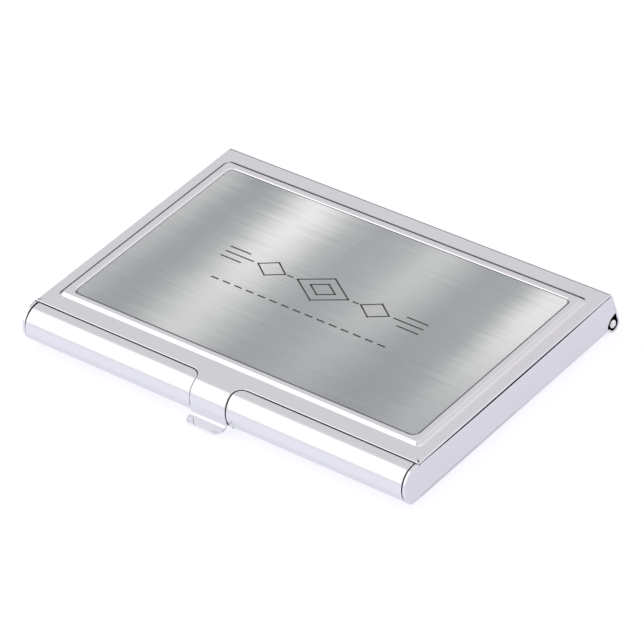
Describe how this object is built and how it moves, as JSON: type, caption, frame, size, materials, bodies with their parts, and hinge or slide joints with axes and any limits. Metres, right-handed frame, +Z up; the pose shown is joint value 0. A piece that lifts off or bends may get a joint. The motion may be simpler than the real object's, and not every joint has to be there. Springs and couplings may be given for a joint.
{
  "type": "business card case",
  "caption": "Flat hinged pocket case of polished sheet steel for business cards, with a framed brushed insert in the lid, a rolled front and a thumb tab.",
  "frame": {"origin": "centre of the footprint, on the plane that the case lies on (the underside of the hinge curls)", "axes": "+X along the hinge, +Y from the thumb tab to the hinge, +Z up through the lid"},
  "size_m": [0.0932, 0.0647, 0.0092],
  "materials": {
    "base_steel": "mirror polished stainless steel, faint fine scratches",
    "lid_steel": "mirror polished stainless steel, faint fine scratches",
    "insert_face": "satin, straight brush lines along the length, thin printed line ornament",
    "adhesive": "matt double-sided adhesive film",
    "pin_steel": "polished wire with peened, domed ends",
    "spring_steel": "satin cold-rolled strip"
  },
  "bodies": {
    "base": {"base_shell": "base_steel", "hinge_pin": "pin_steel", "card_spring": "spring_steel"},
    "lid": {"lid_cover": "lid_steel", "insert_plate": "insert_face", "insert_adhesive": "adhesive"}
  },
  "joints": [
    {"name": "lid_hinge", "type": "hinge", "parent": "base", "child": "lid", "pos_m": [0, 0.03065, 0.0017], "axis": [-1, 0, 0], "range_deg": [0, 120]}
  ]
}
